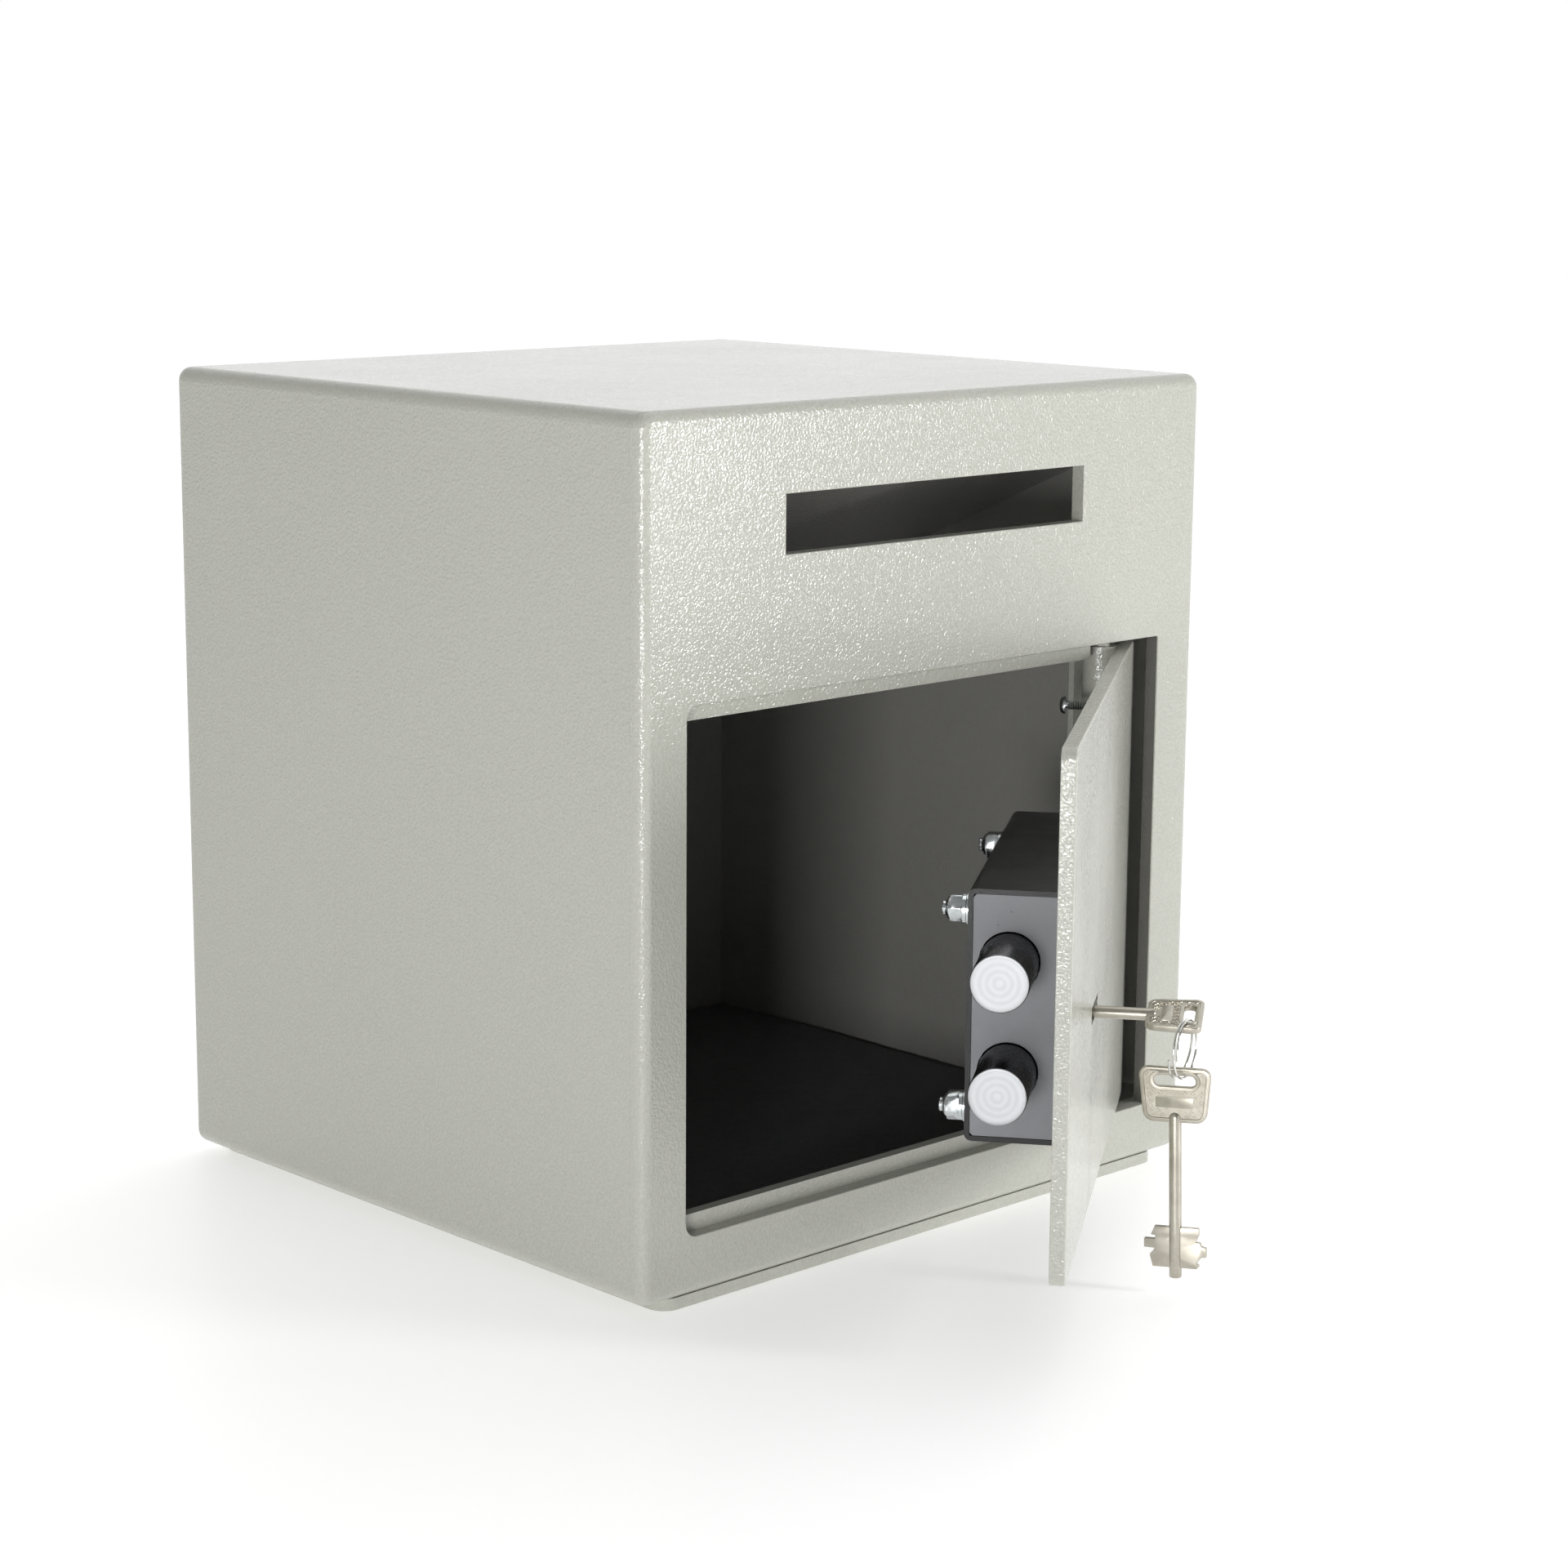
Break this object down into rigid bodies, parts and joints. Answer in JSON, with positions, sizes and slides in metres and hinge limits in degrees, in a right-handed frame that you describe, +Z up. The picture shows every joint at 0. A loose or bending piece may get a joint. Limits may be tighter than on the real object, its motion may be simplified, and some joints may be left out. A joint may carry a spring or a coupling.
{
  "type": "deposit safe",
  "caption": "Steel deposit safe with a letter slot, a thick hinged door with a boxed key lock and round bolts, a sloping deflector inside, and a spare key on a split ring.",
  "frame": {"origin": "centre of the plinth's underside, below the middle of the body", "axes": "+Z up; -Y towards the front with the slot and the door; +X towards the hinge side"},
  "size_m": [0.326, 0.4528, 0.355],
  "materials": {
    "body_paint": "pebble grey powder coat with an orange-peel texture",
    "felt": "charcoal needle felt",
    "zinc_steel": "white zinc plate",
    "lock_case_paint": "black satin paint",
    "bolt_steel": "turned bright steel",
    "lock_steel": "plain mill steel",
    "lever_brass": "stamped brass",
    "key_nickel": "matt nickel on zinc",
    "ring_steel": "bright nickel-plated spring steel"
  },
  "bodies": {
    "safe": {"body_wrap": "body_paint", "front_panel": "body_paint", "rear_panel": "body_paint", "base_plate": "body_paint", "floor_plate": "body_paint", "floor_mat": "felt", "door_stop_top": "body_paint", "door_sill": "body_paint", "lock_jamb": "body_paint", "hinge_guard": "body_paint", "upper_hinge_bracket": "body_paint", "lower_hinge_bracket": "body_paint", "upper_hinge_pin": "body_paint", "lower_hinge_pin": "body_paint", "thrust_washer": "zinc_steel", "letter_deflector": "body_paint"},
    "door": {"door_plate": "body_paint", "hinge_barrel": "body_paint", "leaf_screw": "zinc_steel", "lock_chassis": "lock_case_paint", "lock_cover": "lock_case_paint", "cover_studs": "zinc_steel", "cover_washers": "zinc_steel", "cover_nuts": "zinc_steel", "bolt_guide": "lock_steel", "hard_plate": "lock_steel", "lock_body": "lock_steel", "lock_lid": "lock_steel", "lever_post": "lock_steel", "levers": "lever_brass", "lever_springs": "lock_steel"},
    "boltwork": {"upper_bolt": "bolt_steel", "lower_bolt": "bolt_steel", "bolt_crossbar": "lock_steel", "lock_tongue": "lock_steel"},
    "key": {"turned_key_bow": "key_nickel", "turned_key_shank": "key_nickel"},
    "ring": {"split_ring": "ring_steel"},
    "spare_key": {"spare_key_bow": "key_nickel", "spare_key_shank": "key_nickel"}
  },
  "joints": [
    {"name": "door_swing", "type": "hinge", "parent": "safe", "child": "door", "pos_m": [0.1155, -0.1398, 0.1], "axis": [0, 0, 1], "range_deg": [-36.06, 74]},
    {"name": "key_turn", "type": "hinge", "parent": "door", "child": "key", "pos_m": [0.00426, -0.23744, 0.11265], "axis": [0.5886, -0.8084, 0], "range_deg": [-9, 351]},
    {"name": "bolt_slide", "type": "slide", "parent": "door", "child": "boltwork", "axis": [-0.8084, -0.5886, 0], "range_m": [-0.0006, 0.0196]},
    {"name": "ring_swing", "type": "hinge", "parent": "key", "child": "ring", "pos_m": [0.01915, -0.27212, 0.11269], "axis": [-0.31, 0.9507, 0], "range_deg": [0, 35]},
    {"name": "spare_swing", "type": "hinge", "parent": "ring", "child": "spare_key", "pos_m": [0.01729, -0.27041, 0.09007], "axis": [-0.9507, -0.31, 0], "range_deg": [-4, 55]}
  ],
  "couplings": [
    {"joint": "bolt_slide", "follows": "key_turn", "m_per_rad": 0.0031831}
  ]
}
